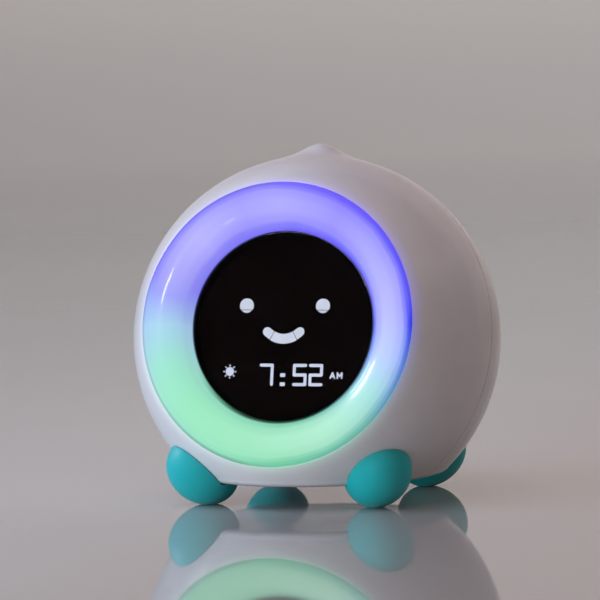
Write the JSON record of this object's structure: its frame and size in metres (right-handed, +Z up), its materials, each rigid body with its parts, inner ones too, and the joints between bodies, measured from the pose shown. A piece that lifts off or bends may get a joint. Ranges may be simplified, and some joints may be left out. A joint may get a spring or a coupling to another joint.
{
  "type": "alarm clock",
  "caption": "Round children's bedside clock with a glowing ring light around a black lit display, egg feet and push buttons at the back",
  "frame": {"origin": "middle of the clock's box on the table surface, between the feet", "axes": "+Z up, the face looks towards -Y, +X to the right as seen from the front"},
  "size_m": [0.131, 0.1154, 0.1254],
  "materials": {
    "shell_white": "glossy",
    "foot_teal": "satin",
    "ring_glow": "glossy, lit from behind",
    "lens_clear": "glossy",
    "tape_black": null,
    "mask_black": null,
    "window_lit": "lit from behind",
    "film_white": null,
    "tray_white": null,
    "board_green": null,
    "lamp_ivory": null,
    "carrier_black": null,
    "screw_steel": null,
    "chip_black": null,
    "can_steel": null,
    "can_aluminium": null,
    "socket_ivory": null,
    "inlet_steel": null,
    "basket_grey": null,
    "magnet_grey": null,
    "cone_paper": null,
    "gasket_black": null,
    "lead_red": null,
    "switch_grey": null,
    "ribbon_grey": null,
    "cell_steel": null,
    "button_teal": "satin",
    "plunger_grey": null
  },
  "bodies": {
    "case": {"front_shell": "shell_white", "rear_shell": "shell_white", "light_ring": "ring_glow", "display_lens": "lens_clear", "lens_tape": "tape_black", "icon_mask": "mask_black", "eye_windows": "window_lit", "smile_windows": "window_lit", "digit_windows": "window_lit", "colon_windows": "window_lit", "sun_window": "window_lit", "am_windows": "window_lit", "diffuser_film": "film_white", "light_box": "tray_white", "display_board": "board_green", "display_lamps": "lamp_ivory", "ring_reflector": "tray_white", "ring_board": "board_green", "ring_lamp_chips": "lamp_ivory", "front_carrier": "carrier_black", "carrier_screws": "screw_steel", "main_board": "board_green", "board_screws": "screw_steel", "processor": "chip_black", "audio_chip": "chip_black", "crystal_can": "can_steel", "capacitors": "can_aluminium", "board_sockets": "socket_ivory", "power_inlet": "inlet_steel", "inlet_board": "board_green", "speaker_frame": "basket_grey", "speaker_magnet": "magnet_grey", "speaker_cone": "cone_paper", "speaker_gasket": "gasket_black", "speaker_leads": "lead_red", "button_board": "board_green", "switch_bodies": "switch_grey", "button_ribbon": "ribbon_grey", "battery_door": "shell_white", "battery_door_screw": "screw_steel", "cell_holder": "carrier_black", "coin_cell": "cell_steel", "front_left_foot": "foot_teal", "front_right_foot": "foot_teal", "rear_left_foot": "foot_teal", "rear_right_foot": "foot_teal", "foot_screws": "screw_steel", "shell_screws": "screw_steel"},
    "lamp_key": {"lamp_button": "button_teal", "lamp_plunger": "plunger_grey"},
    "sound_key": {"sound_button": "button_teal", "sound_plunger": "plunger_grey"},
    "clock_key": {"clock_button": "button_teal", "clock_plunger": "plunger_grey"},
    "alarm_key": {"alarm_button": "button_teal", "alarm_plunger": "plunger_grey"},
    "plus_key": {"plus_button": "button_teal", "plus_plunger": "plunger_grey"},
    "minus_key": {"minus_button": "button_teal", "minus_plunger": "plunger_grey"}
  },
  "joints": [
    {"name": "lamp_press", "type": "slide", "parent": "case", "child": "lamp_key", "axis": [0, -0.9781, 0.2079], "range_m": [0, 0.0008], "stiffness_N_per_m": 1500},
    {"name": "sound_press", "type": "slide", "parent": "case", "child": "sound_key", "axis": [0, -0.9781, 0.2079], "range_m": [0, 0.0008], "stiffness_N_per_m": 1500},
    {"name": "clock_press", "type": "slide", "parent": "case", "child": "clock_key", "axis": [0, -0.9781, 0.2079], "range_m": [0, 0.0008], "stiffness_N_per_m": 1500},
    {"name": "alarm_press", "type": "slide", "parent": "case", "child": "alarm_key", "axis": [0, -0.9781, 0.2079], "range_m": [0, 0.0008], "stiffness_N_per_m": 1500},
    {"name": "plus_press", "type": "slide", "parent": "case", "child": "plus_key", "axis": [0, -0.9781, 0.2079], "range_m": [0, 0.0008], "stiffness_N_per_m": 1500},
    {"name": "minus_press", "type": "slide", "parent": "case", "child": "minus_key", "axis": [0, -0.9781, 0.2079], "range_m": [0, 0.0008], "stiffness_N_per_m": 1500}
  ]
}
